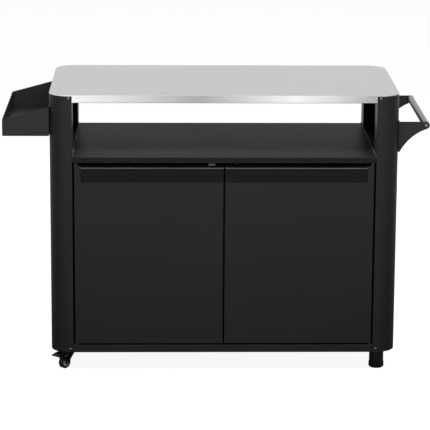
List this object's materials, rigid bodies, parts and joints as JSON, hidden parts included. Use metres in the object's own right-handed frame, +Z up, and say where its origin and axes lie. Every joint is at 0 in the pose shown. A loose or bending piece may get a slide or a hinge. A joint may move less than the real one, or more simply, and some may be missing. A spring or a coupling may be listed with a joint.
{
  "type": "grill cart with storage",
  "caption": "Outdoor cart with a brushed steel worktop, open shelf, cupboard with hinged doors, side tray, tube handle, braked casters and levelling feet.",
  "frame": {"origin": "on the floor, under the middle of the cart's whole outline with tray, handle and pulls", "axes": "+X along the worktop from the tray to the handle, +Y from the doors to the back, +Z up"},
  "size_m": [1.3454, 0.5643, 0.9],
  "materials": {
    "brushed_top": "brushed along the length",
    "black_coat": "semi-matte powder coat",
    "zinc_sheet": "zinc-coated sheet",
    "bright_screw": "bright plated",
    "caster_black": "satin",
    "black_plastic": "matte",
    "grey_plastic": "matte",
    "tyre_rubber": "smooth rubber"
  },
  "bodies": {
    "cabinet": {"worktop": "brushed_top", "handle_bar": "brushed_top", "left_cheek": "black_coat", "right_cheek": "black_coat", "shelf": "black_coat", "base": "black_coat", "back_panel": "black_coat", "tray": "black_coat", "front_handle_bracket": "black_coat", "rear_handle_bracket": "black_coat", "left_liner": "black_coat", "right_liner": "black_coat", "left_floor_plate": "black_coat", "right_floor_plate": "black_coat", "left_top_plate": "black_coat", "right_top_plate": "black_coat", "front_foot_post": "black_coat", "rear_foot_post": "black_coat", "front_stiffener": "zinc_sheet", "rear_stiffener": "zinc_sheet", "pillar_screws": "bright_screw", "tray_screws": "bright_screw", "cabinet_screws": "bright_screw", "bracket_screws": "bright_screw", "handle_end_screws": "bright_screw", "hinge_pins": "bright_screw", "leg_nuts": "bright_screw", "front_caster_stem": "caster_black", "rear_caster_stem": "caster_black", "right_catch": "black_plastic", "hinge_washers": "black_plastic", "left_catch": "grey_plastic"},
    "left_door": {"left_door_skin": "black_coat", "left_door_inner": "black_coat", "left_pull": "black_coat", "left_pocket_floor": "black_coat", "left_pocket_back": "black_coat", "left_pocket_end": "black_coat", "left_door_bushes": "black_plastic", "left_strike": "zinc_sheet"},
    "right_door": {"right_door_skin": "black_coat", "right_door_inner": "black_coat", "right_pull": "black_coat", "right_pocket_floor": "black_coat", "right_pocket_back": "black_coat", "right_pocket_end": "black_coat", "right_door_bushes": "black_plastic", "right_strike": "zinc_sheet"},
    "front_swivel": {"front_caster_fork": "caster_black", "front_axle": "bright_screw", "front_pedal_pin": "bright_screw"},
    "front_wheel": {"front_wheel": "black_plastic", "front_tyre": "tyre_rubber", "front_hub_caps": "grey_plastic"},
    "front_brake": {"front_brake_pedal": "black_plastic"},
    "front_foot": {"front_foot": "black_plastic"},
    "rear_swivel": {"rear_caster_fork": "caster_black", "rear_axle": "bright_screw", "rear_pedal_pin": "bright_screw"},
    "rear_wheel": {"rear_wheel": "black_plastic", "rear_tyre": "tyre_rubber", "rear_hub_caps": "grey_plastic"},
    "rear_brake": {"rear_brake_pedal": "black_plastic"},
    "rear_foot": {"rear_foot": "black_plastic"}
  },
  "joints": [
    {"name": "left_door_hinge", "type": "hinge", "parent": "cabinet", "child": "left_door", "pos_m": [-0.44235, -0.2627, 0.385], "axis": [0, 0, -1], "range_deg": [0, 100]},
    {"name": "right_door_hinge", "type": "hinge", "parent": "cabinet", "child": "right_door", "pos_m": [0.49085, -0.2627, 0.385], "axis": [0, 0, 1], "range_deg": [0, 100]},
    {"name": "front_caster_swivel", "type": "hinge", "parent": "cabinet", "child": "front_swivel", "pos_m": [-0.47175, -0.2097, 0.055], "axis": [0, 0, 1], "continuous": true},
    {"name": "front_wheel_spin", "type": "hinge", "parent": "front_swivel", "child": "front_wheel", "pos_m": [-0.48425, -0.22265, 0.02], "axis": [0.7193, -0.6947, 0], "continuous": true},
    {"name": "front_brake_press", "type": "hinge", "parent": "front_swivel", "child": "front_brake", "pos_m": [-0.48912, -0.22768, 0.043], "axis": [0.7193, -0.6947, 0], "range_deg": [0, 12]},
    {"name": "front_foot_screw", "type": "slide", "parent": "cabinet", "child": "front_foot", "axis": [0, 0, -1], "range_m": [0, 0.012]},
    {"name": "rear_caster_swivel", "type": "hinge", "parent": "cabinet", "child": "rear_swivel", "pos_m": [-0.47175, 0.2203, 0.055], "axis": [0, 0, 1], "continuous": true},
    {"name": "rear_wheel_spin", "type": "hinge", "parent": "rear_swivel", "child": "rear_wheel", "pos_m": [-0.48425, 0.20735, 0.02], "axis": [0.7193, -0.6947, 0], "continuous": true},
    {"name": "rear_brake_press", "type": "hinge", "parent": "rear_swivel", "child": "rear_brake", "pos_m": [-0.48912, 0.20232, 0.043], "axis": [0.7193, -0.6947, 0], "range_deg": [0, 12]},
    {"name": "rear_foot_screw", "type": "slide", "parent": "cabinet", "child": "rear_foot", "axis": [0, 0, -1], "range_m": [0, 0.012]}
  ]
}
